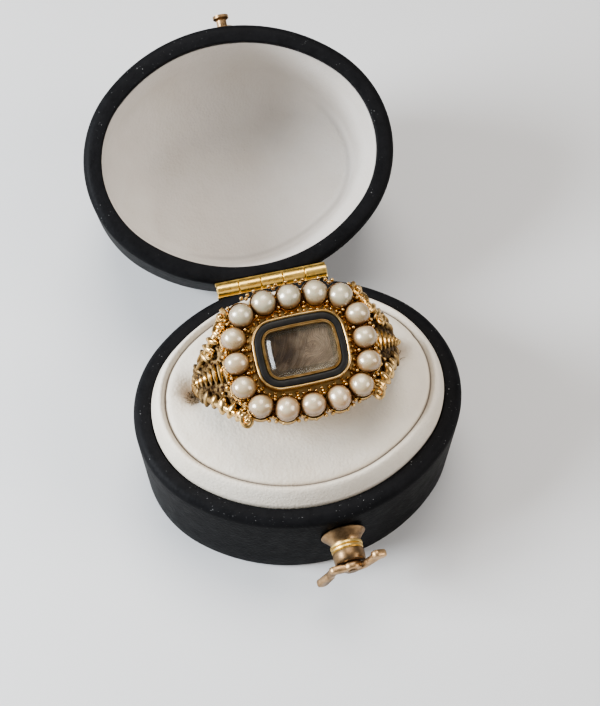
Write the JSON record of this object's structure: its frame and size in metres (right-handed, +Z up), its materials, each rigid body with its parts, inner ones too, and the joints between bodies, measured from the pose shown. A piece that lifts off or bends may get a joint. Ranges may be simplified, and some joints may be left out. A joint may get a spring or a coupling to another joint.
{
  "type": "mourning ring in ring box",
  "caption": "Gold mourning ring with a pearl border, black enamel frame and glazed hair panel, held in the pad of an open oval ring box with a hinged lid.",
  "frame": {"origin": "centre of the box's underside, where it rests on a table", "axes": "+Z up, -Y towards the clasp at the front of the box, +X to the right, along the hinge"},
  "size_m": [0.033, 0.0612, 0.0252],
  "materials": {
    "box_leather": "black grained leather, satin",
    "pad_cream": "cream kid leather, faintly marked",
    "lining_white": "white lining, soft",
    "hinge_brass": "bright yellow brass",
    "clasp_brass": "worn antique brass",
    "ring_gold": "worn rose-yellow gold with dark recesses",
    "enamel": "black enamel, glossy",
    "hair": "brown hair laid in soft curls",
    "crystal": "bevelled clear crystal",
    "pearl": "creamy natural pearl lustre"
  },
  "bodies": {
    "base": {"base_shell": "box_leather", "pad": "pad_cream", "hinge_base": "hinge_brass", "hinge_pin": "hinge_brass", "clasp_plate": "clasp_brass", "clasp_hook": "clasp_brass", "ring_body": "ring_gold", "enamel_border": "enamel", "hair_panel": "hair", "crystal": "crystal", "pearl_01": "pearl", "pearl_02": "pearl", "pearl_03": "pearl", "pearl_04": "pearl", "pearl_05": "pearl", "pearl_06": "pearl", "pearl_07": "pearl", "pearl_08": "pearl", "pearl_09": "pearl", "pearl_10": "pearl", "pearl_11": "pearl", "pearl_12": "pearl", "pearl_13": "pearl", "pearl_14": "pearl", "pearl_15": "pearl", "pearl_16": "pearl"},
    "lid": {"lid_shell": "box_leather", "lid_lining": "lining_white", "hinge_lid": "hinge_brass", "lid_catch": "clasp_brass"}
  },
  "joints": [
    {"name": "lid_hinge", "type": "hinge", "parent": "base", "child": "lid", "pos_m": [0, 0.0136, 0.01227], "axis": [1, 0, 0], "range_deg": [0, 151]}
  ]
}
